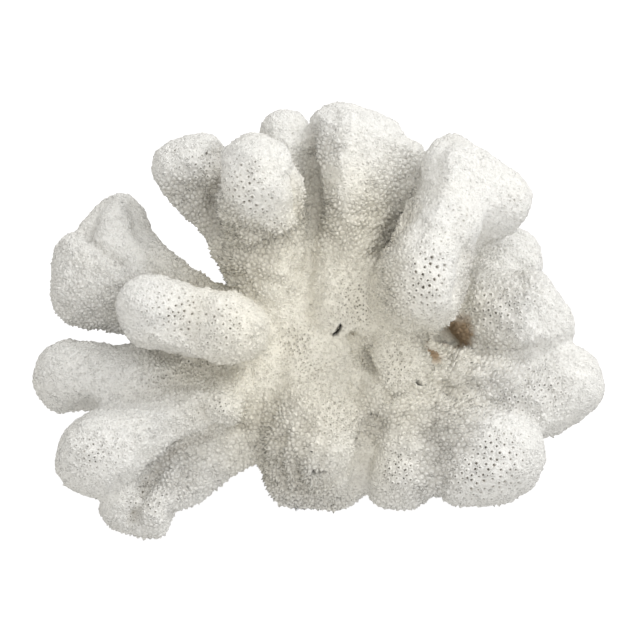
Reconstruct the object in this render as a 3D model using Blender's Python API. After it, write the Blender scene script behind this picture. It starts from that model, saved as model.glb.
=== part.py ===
"""A dried branching coral, cut off flat where it grew on rock, standing on that cut.

Every finger of the coral is round in section and swells and narrows along its length, and
neighbouring fingers are webbed into paddles. So each branch is a set of rounded lobes, and a
lobe is the skin stretched over a few balls. A ball is placed as someone sees it who stands in
front of the coral and looks down at it: how far across, how far up the view, and how high its
middle lies above the table. All of these are millimetres.

The origin is the middle of the cut foot. X runs to the right, Y to the back and Z up.
"""

import math

import bmesh
import bpy
from mathutils import Vector, noise

MM = 0.001

# How the coral is seen when its balls are placed.
LOOK_DOWN = math.radians(45)
FOOT_UP_THE_VIEW = 15.6

# The surface between the facets and the balls.
BALL_POINTS = 90
FUSING_GRAIN = 1.8
ROUNDING_PASSES = 6
ROUNDING_LOSS = 0.5
LUMP_HEIGHT = 0.9
LUMP_LENGTH = 13
FACETS_PER_NODE = 570
FACETS_OF_BODY = 1250

# The clearance between two pieces that grew into each other.
GAP = 0.35

CORAL_WHITE = (0.80, 0.78, 0.72, 1)
CORAL_ROUGHNESS = 0.85

# Each branch is its balls, as (across, up, height, radius), and the lobes stretched over them.
BODY = {
    "balls": {
        "foot_left": (-7, 20, 9, 12),
        "foot_right": (9, 21, 9, 12),
        "foot_back": (2, 34, 9, 18),
        "stump": (-5, 13.5, 9, 12),
        "stump_side": (4, 12.3, 9, 11.3),
        "stump_top": (-2, 23, 27, 14),
        "waist": (0, 30, 22, 19),
        "bowl_left": (-18, 40, 30, 12),
        "bowl_right": (16, 34, 25, 13),
        "bowl_back": (0, 54, 34, 17),
        "bowl_back_left": (-12, 58, 36, 12.5),
        "bowl_back_right": (14, 56, 34, 12),
        "bowl_front": (1, 34, 28, 15),
        "ridge_top": (23, 53, 45, 7.5),
        "ridge_middle": (24.5, 43, 41, 8),
        "ridge_foot": (20, 33, 36, 8),
        "ridge_knob": (29, 38, 36, 7),
    },
    "lobes": [
        ("foot_left", "foot_right", "foot_back", "waist"),
        ("stump", "stump_side", "stump_top"),
        ("stump", "stump_side", "foot_right", "foot_back"),
        ("stump_top", "waist"),
        ("stump_top", "bowl_front"),
        ("waist", "bowl_left", "bowl_front"),
        ("waist", "bowl_right", "bowl_front"),
        ("waist", "bowl_back", "bowl_back_left", "bowl_back_right"),
        ("bowl_left", "bowl_back_left"),
        ("bowl_right", "bowl_back_right"),
        ("ridge_top", "ridge_middle"),
        ("ridge_middle", "ridge_foot"),
        ("ridge_middle", "ridge_knob"),
        ("ridge_middle", "bowl_right"),
    ],
}

BRANCHES = {
    "back_left_paw": {
        "balls": {
            "root": (-10, 56, 40, 11),
            "stem": (-16, 71, 54, 10.5),
            "neck": (-18, 86, 64, 10),
            "fist": (-19.5, 101, 88, 12),
            "fist_low": (-18.5, 97.5, 85, 12),
            "fist_side": (-12.5, 92, 78, 8),
            "left_neck": (-28.5, 89, 59, 8.5),
            "left_knob": (-41.5, 103.5, 73, 9),
            "left_knob_top": (-34.5, 106.5, 76, 7),
            "rear_neck": (-10, 90, 66, 9),
            "rear_knob": (-10.8, 113, 82, 7.5),
        },
        "lobes": [
            ("root", "stem"),
            ("stem", "neck", "left_neck"),
            ("neck", "fist_low"),
            ("fist", "fist_low"),
            ("fist_low", "fist_side", "neck"),
            ("left_neck", "left_knob", "left_knob_top"),
            ("stem", "neck", "rear_neck"),
            ("rear_neck", "rear_knob"),
        ],
    },
    "back_tall_branch": {
        "balls": {
            "root": (7, 60, 44, 14),
            "stem": (8, 76, 56, 11),
            "left_edge": (8.5, 97, 77, 6),
            "left_deep": (3.2, 98, 66, 7.4),
            "left_tip": (5.5, 114, 88, 8.5),
            "middle_tip": (14, 110, 83, 9.5),
            "right_edge": (18, 92, 65, 8.5),
            "right_tip": (22.5, 105, 77, 9.2),
        },
        "lobes": [
            ("root", "stem"),
            ("stem", "left_edge", "left_deep", "right_edge"),
            ("left_edge", "left_deep", "left_tip"),
            ("left_edge", "middle_tip", "right_edge"),
            ("middle_tip", "left_tip", "left_edge"),
            ("right_edge", "right_tip", "middle_tip"),
        ],
    },
    "right_high_paw": {
        "balls": {
            "root": (19, 53, 38, 12),
            "stem": (26, 64, 52, 12),
            "back": (40, 86, 66, 9),
            "knob": (31.5, 69, 71, 12.8),
            "shoulder": (38, 85, 80, 9),
            "shoulder_deep": (34.8, 83.5, 70, 10),
            "ridge": (41.5, 94, 81, 8.5),
            "ridge_deep": (39.5, 92, 71, 10),
            "top": (40.5, 104.5, 85, 9.5),
            "right_shoulder": (49, 91.5, 73, 10.5),
            "right_tip": (53, 93.5, 75, 10),
            "right_top": (45.5, 98.5, 80, 9.3),
        },
        "lobes": [
            ("root", "stem"),
            ("stem", "knob"),
            ("stem", "shoulder", "shoulder_deep"),
            ("knob", "shoulder", "shoulder_deep"),
            ("stem", "back", "shoulder_deep"),
            ("shoulder", "shoulder_deep", "ridge", "ridge_deep"),
            ("back", "right_shoulder", "ridge_deep"),
            ("ridge", "ridge_deep", "top"),
            ("right_shoulder", "right_tip", "right_top"),
            ("right_top", "top", "ridge_deep"),
        ],
    },
    "right_rear_fan": {
        "balls": {
            "root": (20, 60, 38, 10),
            "stem": (40, 65, 40, 9),
            "front_inner": (50, 63, 44, 8.5),
            "front_crest": (61, 62, 45, 9),
            "front_tip": (66, 56, 40, 10.5),
            "front_low": (54, 55, 38, 9.8),
            "upper_neck": (48, 72, 40, 9),
            "upper_tip": (58, 76.5, 43, 9.8),
            "low_root": (22, 50, 22, 9),
            "low_stem": (41, 52, 22, 8.5),
        },
        "lobes": [
            ("root", "stem", "low_root", "low_stem"),
            ("stem", "front_inner", "front_low"),
            ("front_inner", "front_crest", "front_low"),
            ("front_crest", "front_tip", "front_low"),
            ("stem", "upper_neck"),
            ("upper_neck", "upper_tip"),
            ("low_stem", "front_low"),
        ],
    },
    "right_side_branch": {
        "balls": {
            "root": (24, 36, 28, 12),
            "stem": (42, 38, 28, 10.5),
            "wrist": (58, 35.5, 27, 10),
            "lower_edge": (63, 30, 23, 9.5),
            "tip": (75.3, 38.5, 29, 10.6),
        },
        "lobes": [
            ("root", "stem"),
            ("stem", "wrist", "lower_edge"),
            ("wrist", "lower_edge", "tip"),
        ],
    },
    "front_right_paw": {
        "balls": {
            "root": (20, 28, 26, 12.5),
            "palm": (38, 24, 25, 11.5),
            "left_tip": (26.5, 12, 16, 10.8),
            "left_heel": (22, 11.5, 13.5, 9.8),
            "left_palm": (24, 21, 21, 9.5),
            "middle_tip": (45, 13.3, 18, 12.3),
            "right_tip": (54.3, 17, 21, 13),
        },
        "lobes": [
            ("root", "palm"),
            ("root", "left_palm", "left_tip", "left_heel"),
            ("palm", "middle_tip", "right_tip"),
        ],
    },
    "left_rear_fan": {
        "balls": {
            "root": (-20, 56, 37, 8.5),
            "stem": (-36, 60, 41, 8),
            "palm": (-55.5, 67.5, 45, 9.8),
            "upper_neck": (-54.5, 75, 47, 7.5),
            "upper_tip": (-61, 88, 53, 7.8),
            "upper_side": (-65, 85.5, 51, 7),
            "left_tip": (-72, 75.5, 48, 9),
            "lower_tip": (-71.5, 66, 43, 9.8),
            "lower_palm": (-60, 64.5, 42, 9.8),
        },
        "lobes": [
            ("root", "stem"),
            ("stem", "palm", "upper_neck"),
            ("upper_neck", "upper_tip"),
            ("upper_tip", "upper_side", "palm"),
            ("palm", "left_tip", "lower_palm"),
            ("stem", "palm", "lower_palm"),
            ("left_tip", "lower_tip", "lower_palm"),
        ],
    },
    "left_front_club": {
        "balls": {
            "root": (-17, 50, 37, 9.5),
            "stem": (-28, 54, 46, 9),
            "left_end": (-50.5, 60, 60, 10.2),
            "middle": (-38, 58, 59.5, 9),
            "right_end": (-25, 54.3, 57, 9.8),
        },
        "lobes": [
            ("root", "stem"),
            ("stem", "left_end", "middle"),
            ("stem", "middle", "right_end"),
        ],
    },
    "left_low_fan": {
        "balls": {
            "root": (-20, 38, 31, 9),
            "upper_palm": (-46, 42.5, 31, 10),
            "upper_wrist": (-60, 39, 29.5, 9.7),
            "upper_tip": (-76, 40, 28, 10.6),
            "lower_neck": (-37, 31, 31, 9.5),
            "lower_palm": (-53, 24.5, 28, 10.8),
            "lower_tip": (-66.2, 16.8, 24, 12.4),
            "button": (-29.5, 31, 35, 6.5),
        },
        "lobes": [
            ("root", "upper_palm", "lower_neck"),
            ("upper_palm", "upper_wrist", "lower_palm"),
            ("upper_wrist", "upper_tip"),
            ("upper_palm", "lower_neck", "lower_palm"),
            ("lower_palm", "lower_tip"),
            ("button", "lower_neck"),
        ],
    },
    "left_low_finger": {
        "balls": {
            "root": (-16, 29, 23, 11),
            "knuckle": (-22.5, 24, 20, 9),
            "middle": (-37, 13.5, 12, 7.8),
            "tip": (-51.3, 1.3, 10.5, 8.6),
            "side_tip": (-58.5, 1.3, 10, 7),
        },
        "lobes": [
            ("root", "knuckle"),
            ("knuckle", "middle"),
            ("middle", "tip"),
            ("tip", "side_tip"),
        ],
    },
    "rear_low_branch": {
        "balls": {
            "root": (0, 57, 32, 12),
            "stem": (-4, 66, 32, 11),
            "left_tip": (-16, 74, 36, 10),
            "middle": (5, 74, 36, 10),
            "right_tip": (18.5, 77.5, 42, 10),
        },
        "lobes": [
            ("root", "stem"),
            ("stem", "left_tip", "middle"),
            ("stem", "middle", "right_tip"),
        ],
    },
}


def clear_scene():
    for thing in list(bpy.data.objects):
        bpy.data.objects.remove(thing)


def placed(across, up, height):
    """Where a ball's middle lies, from its place in the view and its height above the table."""
    up_from_foot = up - FOOT_UP_THE_VIEW
    depth = up_from_foot / math.sin(LOOK_DOWN) - height / math.tan(LOOK_DOWN)
    return Vector((across, depth, height)) * MM


def ball_surface(middle, radius):
    """Points spread evenly over a ball, along a spiral from its bottom to its top."""
    golden_turn = math.pi * (3 - math.sqrt(5))
    points = []
    for step in range(BALL_POINTS):
        level = -1 + 2 * (step + 0.5) / BALL_POINTS
        ring = math.sqrt(1 - level * level)
        turn = golden_turn * step
        spoke = Vector((ring * math.cos(turn), ring * math.sin(turn), level))
        points.append(middle + spoke * radius)
    return points


def add_lobe(coral, balls):
    """Stretches one closed skin over some balls and adds it to the mesh."""
    lobe = bmesh.new()
    for across, up, height, radius in balls:
        for point in ball_surface(placed(across, up, height), (radius + ROUNDING_LOSS) * MM):
            lobe.verts.new(point)
    skin = bmesh.ops.convex_hull(lobe, input=lobe.verts)
    bmesh.ops.delete(lobe, geom=skin["geom_interior"], context="VERTS")
    part = bpy.data.meshes.new("lobe")
    lobe.to_mesh(part)
    lobe.free()
    coral.from_mesh(part)
    bpy.data.meshes.remove(part)


def settled(thing):
    """Bakes an object's modifiers into its mesh."""
    bpy.context.view_layer.update()
    graph = bpy.context.evaluated_depsgraph_get()
    shape = bpy.data.meshes.new_from_object(thing.evaluated_get(graph))
    thing.modifiers.clear()
    thing.data = shape
    return thing


def fused(name, branch):
    """One branch as a single closed skin, its lobes grown together and their joins rounded."""
    coral = bmesh.new()
    for lobe in branch["lobes"]:
        add_lobe(coral, [branch["balls"][ball] for ball in lobe])
    mesh = bpy.data.meshes.new(name)
    coral.to_mesh(mesh)
    coral.free()
    thing = bpy.data.objects.new(name, mesh)
    bpy.context.scene.collection.objects.link(thing)
    fuse = thing.modifiers.new("fuse", "REMESH")
    fuse.mode = "VOXEL"
    fuse.voxel_size = FUSING_GRAIN * MM
    rounding = thing.modifiers.new("rounding", "SMOOTH")
    rounding.factor = 0.5
    rounding.iterations = ROUNDING_PASSES
    return settled(thing)


def raise_lumps(thing):
    """Gives the skin the slow, uneven swelling of grown coral."""
    mesh = thing.data
    normals = [vertex.normal.copy() for vertex in mesh.vertices]
    for vertex, normal in zip(mesh.vertices, normals):
        swell = noise.fractal(vertex.co / (LUMP_LENGTH * MM), 1, 2, 2)
        vertex.co += normal * swell * LUMP_HEIGHT * MM


def thin_out(thing, facets):
    thing.data.calc_loop_triangles()
    thinning = thing.modifiers.new("thinning", "DECIMATE")
    thinning.ratio = facets / len(thing.data.loop_triangles)
    thinning.use_collapse_triangulate = True
    return settled(thing)


def cut_foot(thing):
    """Saws the body off flat at the table."""
    body = bmesh.new()
    body.from_mesh(thing.data)
    everything = body.verts[:] + body.edges[:] + body.faces[:]
    sawn = bmesh.ops.bisect_plane(
        body, geom=everything, plane_co=(0, 0, 0), plane_no=(0, 0, 1), clear_inner=True
    )
    rim = [edge for edge in sawn["geom_cut"] if isinstance(edge, bmesh.types.BMEdge)]
    bmesh.ops.edgeloop_fill(body, edges=rim)
    bmesh.ops.triangulate(body, faces=body.faces)
    bmesh.ops.recalc_face_normals(body, faces=body.faces)
    body.to_mesh(thing.data)
    body.free()


def largest_part(thing):
    """Drops the crumbs that a cut leaves and keeps the branch."""
    shape = bmesh.new()
    shape.from_mesh(thing.data)
    left = set(shape.verts)
    parts = []
    while left:
        start = left.pop()
        part = {start}
        edge_of_part = [start]
        while edge_of_part:
            vertex = edge_of_part.pop()
            for edge in vertex.link_edges:
                other = edge.other_vert(vertex)
                if other in left:
                    left.remove(other)
                    part.add(other)
                    edge_of_part.append(other)
        parts.append(part)
    parts.sort(key=len)
    crumbs = [vertex for part in parts[:-1] for vertex in part]
    bmesh.ops.delete(shape, geom=crumbs, context="VERTS")
    shape.to_mesh(thing.data)
    shape.free()


def swollen_copy(thing):
    """A copy of a piece, larger by the gap all round, to cut its neighbours with."""
    copy = thing.copy()
    copy.data = thing.data.copy()
    copy.name = thing.name + "_cutter"
    copy.hide_render = True
    copy.display_type = "WIRE"
    bpy.context.scene.collection.objects.link(copy)
    for vertex in thing.data.vertices:
        copy.data.vertices[vertex.index].co = vertex.co + vertex.normal * GAP * MM
    return copy


def boxes_meet(first, second):
    margin = 2 * GAP * MM
    for axis in range(3):
        a = [vertex.co[axis] for vertex in first.data.vertices]
        b = [vertex.co[axis] for vertex in second.data.vertices]
        if min(a) > max(b) + margin or min(b) > max(a) + margin:
            return False
    return True


def cut_clear(thing, cutters):
    """Cuts a piece back from the pieces that it grew into."""
    for cutter in cutters:
        if not boxes_meet(thing, cutter):
            continue
        cut = thing.modifiers.new("clearance", "BOOLEAN")
        cut.operation = "DIFFERENCE"
        cut.solver = "MANIFOLD"
        cut.object = cutter
        settled(thing)
        largest_part(thing)


def coral_material():
    material = bpy.data.materials.new("dried_coral")
    material.use_nodes = True
    surface = material.node_tree.nodes["Principled BSDF"]
    surface.inputs["Base Color"].default_value = CORAL_WHITE
    surface.inputs["Roughness"].default_value = CORAL_ROUGHNESS
    surface.inputs["Metallic"].default_value = 0
    return material


def build():
    clear_scene()
    body = fused("body", BODY)
    raise_lumps(body)
    thin_out(body, FACETS_OF_BODY)
    cut_foot(body)
    pieces = [body]
    cutters = [swollen_copy(body)]
    for name, branch in BRANCHES.items():
        piece = fused(name, branch)
        raise_lumps(piece)
        thin_out(piece, FACETS_PER_NODE)
        cut_clear(piece, cutters)
        pieces.append(piece)
        cutters.append(swollen_copy(piece))
    for piece in pieces:
        piece.data.shade_smooth()
        piece.data.materials.clear()
        piece.data.materials.append(coral_material())
    for cutter in cutters:
        bpy.data.objects.remove(cutter)


build()
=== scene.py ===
"""A dried branching coral on a pale table, seen from the front and from 45 degrees above.

The coral is one grown piece, and each of its main branches is a piece of the scene. The skin is
grown over the solids as one surface, so the branches run into each other at the forks. It is then
covered with the cups that the polyps lived in, each a small pit with a raised rim, and cut up
along the borders between cups.
"""

import math

import bmesh
import bpy
import numpy as np
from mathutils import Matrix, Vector, noise
from mathutils.bvhtree import BVHTree


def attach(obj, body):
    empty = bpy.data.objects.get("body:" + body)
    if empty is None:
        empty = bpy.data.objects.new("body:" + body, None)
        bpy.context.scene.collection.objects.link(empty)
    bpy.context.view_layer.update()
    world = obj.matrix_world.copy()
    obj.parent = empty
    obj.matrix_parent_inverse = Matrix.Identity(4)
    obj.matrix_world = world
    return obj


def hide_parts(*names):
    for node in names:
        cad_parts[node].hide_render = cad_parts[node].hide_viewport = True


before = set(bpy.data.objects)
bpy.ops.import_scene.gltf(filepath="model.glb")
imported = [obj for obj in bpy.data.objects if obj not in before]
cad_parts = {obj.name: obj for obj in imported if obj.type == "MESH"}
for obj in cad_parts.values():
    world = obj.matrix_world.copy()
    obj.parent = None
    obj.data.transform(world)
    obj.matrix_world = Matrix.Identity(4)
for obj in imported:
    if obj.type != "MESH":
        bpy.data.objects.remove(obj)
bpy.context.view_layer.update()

MM = 0.001
CHANCE = np.random.default_rng(11)

# The view. Across and up are millimetres in the picture, from the middle of the foot's front.
LOOK_DOWN = math.radians(45)
FOOT_UP_THE_VIEW = 15.6
PICTURE_MIDDLE = (0, 57.3)
PICTURE_WIDTH = 195.2
CAMERA_FAR = 1.6
TO_CAMERA = Vector((0, -math.cos(LOOK_DOWN), math.sin(LOOK_DOWN)))
UP_THE_VIEW = Vector((0, math.sin(LOOK_DOWN), math.cos(LOOK_DOWN)))

# The skin over the solids, in millimetres, and how often it is smoothed.
SWELL_OVER_SOLIDS = 0.55
FOOT_BELOW_TABLE = 4
SKIN_GRAIN = 1.1
SKIN_ROUNDING = 5
WALL = 2.4

# The slow unevenness of the skin: how high it swells and how far across its lumps are. The finer
# swelling is stronger where the hoods are high.
BROAD_SWELLING = 0.9
BROAD_LUMPS = 8
FINE_SWELLING = 0.35
FINE_SWELLING_BY_HOOD = 1.3
FINE_LUMPS = 3.7

# The net with one point for each cup. Its edges are split or closed past these shares of the
# length that they should have, and its points are shaken before and after, in millimetres.
CUP_GRAIN = 1.65
NET_TURNS = 7
RELAXING_TURNS = 2
RELAXING = 0.6
SPLIT_ABOVE = 1.38
CLOSE_BELOW = 0.74
SHAKEN_BEFORE = 0.35 * CUP_GRAIN
SHAKEN_AFTER = 0.28 * CUP_GRAIN
UNTANGLING_TURNS = 12

# Where the coral grew from, and the middle of its bowl.
GROWTH_START = np.array((0, 12, -5)) * MM
BOWL = np.array((0, 14, 42)) * MM

# The grooves between lobes and the ridges on them, each along a line of points (across, up), with
# its width and its depth. A ridge's depth is negative.
FOLDS = {
    "valley_left_of_fist": (4, 3.5, ((-30, 108.5), (-31.5, 100.5), (-33, 92.5), (-32.5, 83.5))),
    "under_the_fist": (2.6, 0.4, ((-31.5, 97), (-28.5, 91), (-24.5, 87), (-18.5, 84.5), (-10, 84))),
    "right_of_the_fist": (2, 0.8, ((-7.5, 114), (-7, 100), (-6.5, 88.5))),
    "left_of_tall_branch": (3, 3.4, ((-2.5, 114), (-2.5, 100), (-1, 85))),
    "tall_branch_corner": (2.4, -1.6, ((7.5, 119), (6.5, 106), (7.5, 91), (9.5, 81.5))),
    "right_of_tall_branch": (3.2, 1.2, ((28.5, 104.5), (25.5, 96.5), (22, 86.5), (19.5, 78.5))),
    "leaning_branch_ridge": (2.6, -1.4, ((39.5, 110.5), (39, 101.5), (37, 92.5), (34, 85.5))),
    "leaning_branch_groove": (2.4, 1.6, ((48, 108.5), (45.5, 100.5), (43.5, 93.5))),
    "right_fan_rim": (2.6, -0.9, ((57, 72.5), (65.5, 68.5), (72.5, 60.5), (75.5, 53))),
    "right_fan_hollow": (4.5, 1.2, ((52, 66.5), (59.5, 63.5), (65.5, 56))),
    "under_right_fan": (2.2, 1.2, ((48, 48), (55, 47.5), (69.5, 48))),
    "side_branch_waist": (4.5, 1.1, ((67.5, 47), (66, 40.5), (69, 33))),
    "under_side_branch": (2.2, 1.6, ((34, 39.5), (44, 34), (55, 31))),
    "front_paw_groove": (3.2, 2.1, ((33, 25.5), (35.5, 17.5), (35.5, 10), (34, 3))),
    "stump_wall": (4, 2.6, ((16, 26), (13, 17.5), (11.5, 8))),
    "bowl_crease": (1.5, 3.6, ((10, 52), (13, 47), (16, 41), (20, 34))),
    "right_of_bowl_ridge": (2.2, 2, ((31, 49.5), (32, 43.5), (28.5, 37))),
    "low_fan_valley": (5, 2.4, ((-72, 29.5), (-58, 34), (-42.5, 39.5), (-29, 44))),
    "finger_crease": (2.6, 5, ((-56, -2), (-52, 8.5), (-44, 17.5), (-32, 23))),
    "stump_groove": (2, 2.8, ((-5, 25.5), (-7, 14.5), (-6, 5))),
    "stump_left_groove": (1.8, 2.8, ((-11, 23), (-12, 14), (-11, 6.5))),
    "rear_fan_notch": (3.2, 2.8, ((-72, 85), (-67, 80), (-60.5, 74.5))),
    "rear_fan_hollow": (4.5, 1.5, ((-56.5, 85.5), (-51, 78), (-43.5, 71))),
    "club_waist": (4.5, 3.2, ((-37.5, 69), (-36.5, 62), (-38.5, 54))),
    "low_fan_crest": (2.6, -1.4, ((-63.5, 9), (-52.5, 23), (-37, 33.5))),
    "under_the_button": (1.8, 2.2, ((-35.5, 31.5), (-34, 27), (-28.5, 24.5), (-23, 25.5))),
    "stump_right_groove": (1.6, 1.6, ((0.5, 24), (0, 15), (1, 6.5))),
    "paw_crest": (2.6, -1.2, ((-27, 63.5), (-22.5, 73), (-19.5, 82.5))),
    "bowl_left_valley": (3, 1.4, ((-11.5, 49.5), (-13.5, 37.5), (-16, 27))),
    "front_paw_root": (2.4, 1.6, ((22, 32.5), (30.5, 35.5), (38.5, 36.5))),
    "stained_gap_floor": (3.4, -0.8, ((41, 55), (36.5, 51.5), (33, 48))),
    "fist_heel": (4, -2.4, ((-13, 85.5), (-9.5, 86))),
    "fist_right_side": (4.5, 2.6, ((-7, 99), (-6.5, 90))),
    "fist_right_edge": (2, -1.2, ((-10, 107), (-8.5, 97), (-8, 88))),
    "knob_right_side": (6, 4.2, ((45, 76), (44, 71), (42.5, 65))),
    "leaning_branch_top": (6, 2.6, ((40, 111.5), (45, 112), (50, 109))),
    "tall_branch_top": (3.5, 2, ((14, 121), (20.5, 119.5), (27, 114))),
    "tall_branch_notch": (1.4, 1, ((11, 121), (10, 115.5))),
    "rear_fan_top_left": (3.5, 2.4, ((-65.5, 94.5), (-69, 90), (-72.5, 84.5))),
    "rear_fan_top_right": (3.5, 2.4, ((-56, 92.5), (-54, 88.5), (-52.5, 84))),
    "right_fan_top_edge": (4, -2.2, ((64, 71.5), (66, 68.5))),
    "finger_lower_edge": (4, 3.6, ((-43, -2.5), (-36, 1.5), (-30, 6), (-24, 11))),
}

# How the cups look where no place is named: how high the hoods stand, how far apart the cups lie
# and their pits' radius, on the flanks of the branches, at their ends, in the bowl and below. The
# bowl's edge and the branches' ends lie between these distances from the middle of the bowl.
BOWL_EDGE = (22, 40)
BRANCH_ENDS = (52, 68)
FACING_DOWN = (-0.1, 0.6)
FLANK_HOOD = 0.62
END_HOOD_LESS = 0.5
BOWL_HOOD = 0.3
HOOD_BELOW = 0.6
FLANK_SPACING = 1.75
END_SPACING_MORE = 0.3
BOWL_SPACING_LESS = 0.3
FLANK_PIT = 0.28
BOWL_PIT_LESS = 0.06
UNNAMED_WEIGHT = 0.08
SAWN_LOOK = (0, 3.5, 0.3)

# How the cups look from place to place. Each place is seen from the camera at (across, up) and
# reaches so far. There the hoods stand so high (0 is smooth and 1 is shaggy), the cups lie so
# far apart, and their pits have this radius.
PLACES = {
    "fist": (-19.8, 104.6, 9, 0.14, 2.15, 0.34),
    "fist_pores": (-18.9, 92.4, 6, 0.15, 2.1, 0.42),
    "fist_side": (-10.7, 97.0, 8, 0.02, 2.2, 0.22),
    "paw_flank": (-29.0, 89.4, 7, 1, 1.6, 0.3),
    "paw_flank_low": (-24.4, 74.1, 9, 1, 1.6, 0.3),
    "under_fist": (-16, 80.5, 7, 1, 1.65, 0.28),
    "paw_root": (-9.2, 72.6, 8, 0.4, 1.5, 0.25),
    "left_knob": (-43.3, 106.1, 7, 0.15, 1.9, 0.28),
    "left_knob_flank": (-41.2, 97.0, 6, 0.9, 1.6, 0.28),
    "rear_knob": (-12.2, 116.8, 6, 0.05, 2.1, 0.25),
    "tall_left_flank": (1.8, 109.2, 5, 0.95, 1.65, 0.3),
    "tall_left_low": (3.0, 89.4, 6, 1, 1.6, 0.3),
    "tall_top": (10.7, 116.8, 9, 0.05, 2.1, 0.24),
    "tall_middle": (9.8, 101.6, 8, 0.1, 1.9, 0.3),
    "tall_low": (9.2, 83.3, 8, 0.7, 1.6, 0.28),
    "tall_right_flank": (22.9, 93.9, 8, 0.7, 1.7, 0.28),
    "tall_right_low": (19.8, 80.2, 7, 0.8, 1.6, 0.28),
    "leaning_flank": (22.9, 83.3, 7, 0.9, 1.75, 0.33),
    "leaning_valley": (22.6, 86.5, 3, 0.3, 1.5, 0.24),
    "leaning_stem": (22.0, 66.5, 7, 0.8, 1.6, 0.28),
    "leaning_top": (41.2, 109.2, 8, 0.02, 2.1, 0.2),
    "shoulder": (39.6, 93.9, 10, 0.1, 2.2, 0.24),
    "shoulder_side": (51.9, 93.9, 9, 0.02, 2.2, 0.2),
    "knob_pores": (32.0, 71.1, 8, 0.1, 2.5, 0.48),
    "knob_low": (34.2, 60.4, 8, 0.16, 2.2, 0.38),
    "rings": (50.3, 61.9, 10, 0.5, 2, 0.34),
    "stained_gap": (38.0, 51.5, 4.5, 0.1, 1.7, 0.2),
    "stained_gap_right": (41.5, 50.5, 3, 0.1, 1.7, 0.2),
    "stained_gap_low": (33.4, 47.7, 3, 0.3, 1.6, 0.2),
    "fan_low": (51.9, 52.8, 7, 0.6, 1.8, 0.3),
    "fan_upper": (54.9, 75.6, 8, 0.25, 2, 0.28),
    "fan_edge": (68.6, 54.3, 7, 0.1, 2.1, 0.24),
    "side_root": (39.6, 43.6, 8, 1.15, 1.6, 0.28),
    "side_middle": (54.9, 40.6, 8, 0.75, 1.8, 0.33),
    "side_low": (67.1, 32.9, 7, 0.55, 1.9, 0.28),
    "side_tip": (77.8, 37.5, 10, 0.08, 2, 0.24),
    "blades": (39.6, 20.7, 9, 1.2, 1.35, 0.26),
    "paw_pores": (50.3, 16.2, 8, 0.12, 2.3, 0.45),
    "paw_low_pores": (45.8, 8.5, 8, 0.15, 2.3, 0.42),
    "paw_right": (62.5, 16.2, 9, 0.02, 2.2, 0.28),
    "paw_left": (24.4, 14.6, 8, 0.3, 1.8, 0.32),
    "paw_groove": (32.0, 10.1, 6, 0.9, 1.7, 0.28),
    "bowl_back": (1.5, 68.0, 9, 0.25, 1.35, 0.25),
    "bowl_middle": (0.0, 48.2, 12, 0.08, 1.3, 0.22),
    "bowl_low": (3.0, 32.9, 9, 0.4, 1.4, 0.26),
    "bowl_left": (-15.2, 54.3, 8, 0.12, 1.5, 0.24),
    "ridge": (22.9, 42.1, 8, 0.35, 1.4, 0.28),
    "crease": (14.6, 46.7, 5, 0.9, 1.4, 0.24),
    "frills": (21.5, 31.0, 7, 1.0, 1.5, 0.26),
    "frills_low": (14.0, 26.0, 6, 0.8, 1.5, 0.26),
    "stump_left": (-10.7, 20.7, 10, 1.0, 1.8, 0.28),
    "stump_right": (3.0, 17.7, 6, 0.2, 2.0, 0.24),
    "stump_low": (-6.1, 5.5, 8, 0.85, 1.9, 0.28),
    "stump_wall": (12.2, 14.6, 7, 0.1, 1.8, 0.15),
    "club": (-39.6, 60.4, 14, 0.12, 2.3, 0.36),
    "club_low": (-36.6, 49.7, 6, 0.5, 1.9, 0.3),
    "rear_fan_upper": (-57.9, 87.8, 10, 0.15, 2, 0.24),
    "rear_fan_right": (-45.8, 74.1, 9, 0.4, 1.8, 0.24),
    "rear_fan_left": (-74.7, 72.6, 10, 0.4, 1.5, 0.26),
    "rear_fan_low": (-67.1, 60.4, 10, 0.7, 1.5, 0.26),
    "low_fan": (-61.0, 39.0, 16, 0.22, 1.6, 0.24),
    "low_fan_tip": (-80.8, 42.1, 10, 0.2, 2, 0.24),
    "low_fan_lower_tip": (-70.1, 14.6, 12, 0.2, 2, 0.24),
    "low_fan_root": (-36.6, 32.9, 12, 0.4, 1.5, 0.27),
    "low_fan_shade": (-45.8, 45.1, 8, 0.75, 1.5, 0.27),
    "finger": (-51.9, 5.5, 8, 0.4, 1.6, 0.3),
    "finger_crease": (-44.2, 11.6, 6, 1.0, 1.5, 0.28),
    "finger_root": (-27.4, 17.7, 8, 0.5, 1.6, 0.24),
}

# Where the pores stand open, deep and dark with painted shade, as (across, up, reach). Elsewhere
# they are silted up.
OPEN_PORES = (
    (22.0, 12.0, 7.0),
    (31.5, 72.5, 5.9),
    (30.0, 66.0, 7.8),
    (35.0, 58.0, 6.5),
    (-18.5, 92.5, 5.9),
    (-23.0, 97.5, 6.5),
    (-12.5, 84.5, 4.5),
    (52.0, 17.0, 7.8),
    (46.5, 10.0, 7.8),
    (56.5, 9.0, 5.9),
    (-42.0, 60.5, 6.5),
    (-30.0, 56.5, 5.9),
    (-40.0, 44.0, 8.5),
    (-46.0, 38.5, 5.5),
    (-29.5, 31.5, 3.9),
    (66.0, 36.5, 5.9),
    (45.0, 35.5, 4.5),
    (57.0, 33.0, 5.2),
    (-3.0, 42.0, 6.5),
    (6.0, 29.0, 5.9),
    (12.0, 62.0, 7.8),
    (-7.0, 50.0, 5.2),
    (22.0, 42.0, 6.5),
    (-52.0, 4.0, 5.9),
    (-68.0, 18.0, 6.0),
    (57.0, 94.0, 3.9),
    (51.0, 62.0, 8.5),
    (41.0, 88.0, 5.2),
    (-34.0, 104.0, 4.5),
)

# Brown stain in the deep gap behind the ridge, as (across, up, reach).
STAINS = ((41.6, 53.5, 5.0), (33.4, 47.7, 3.0))

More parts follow.
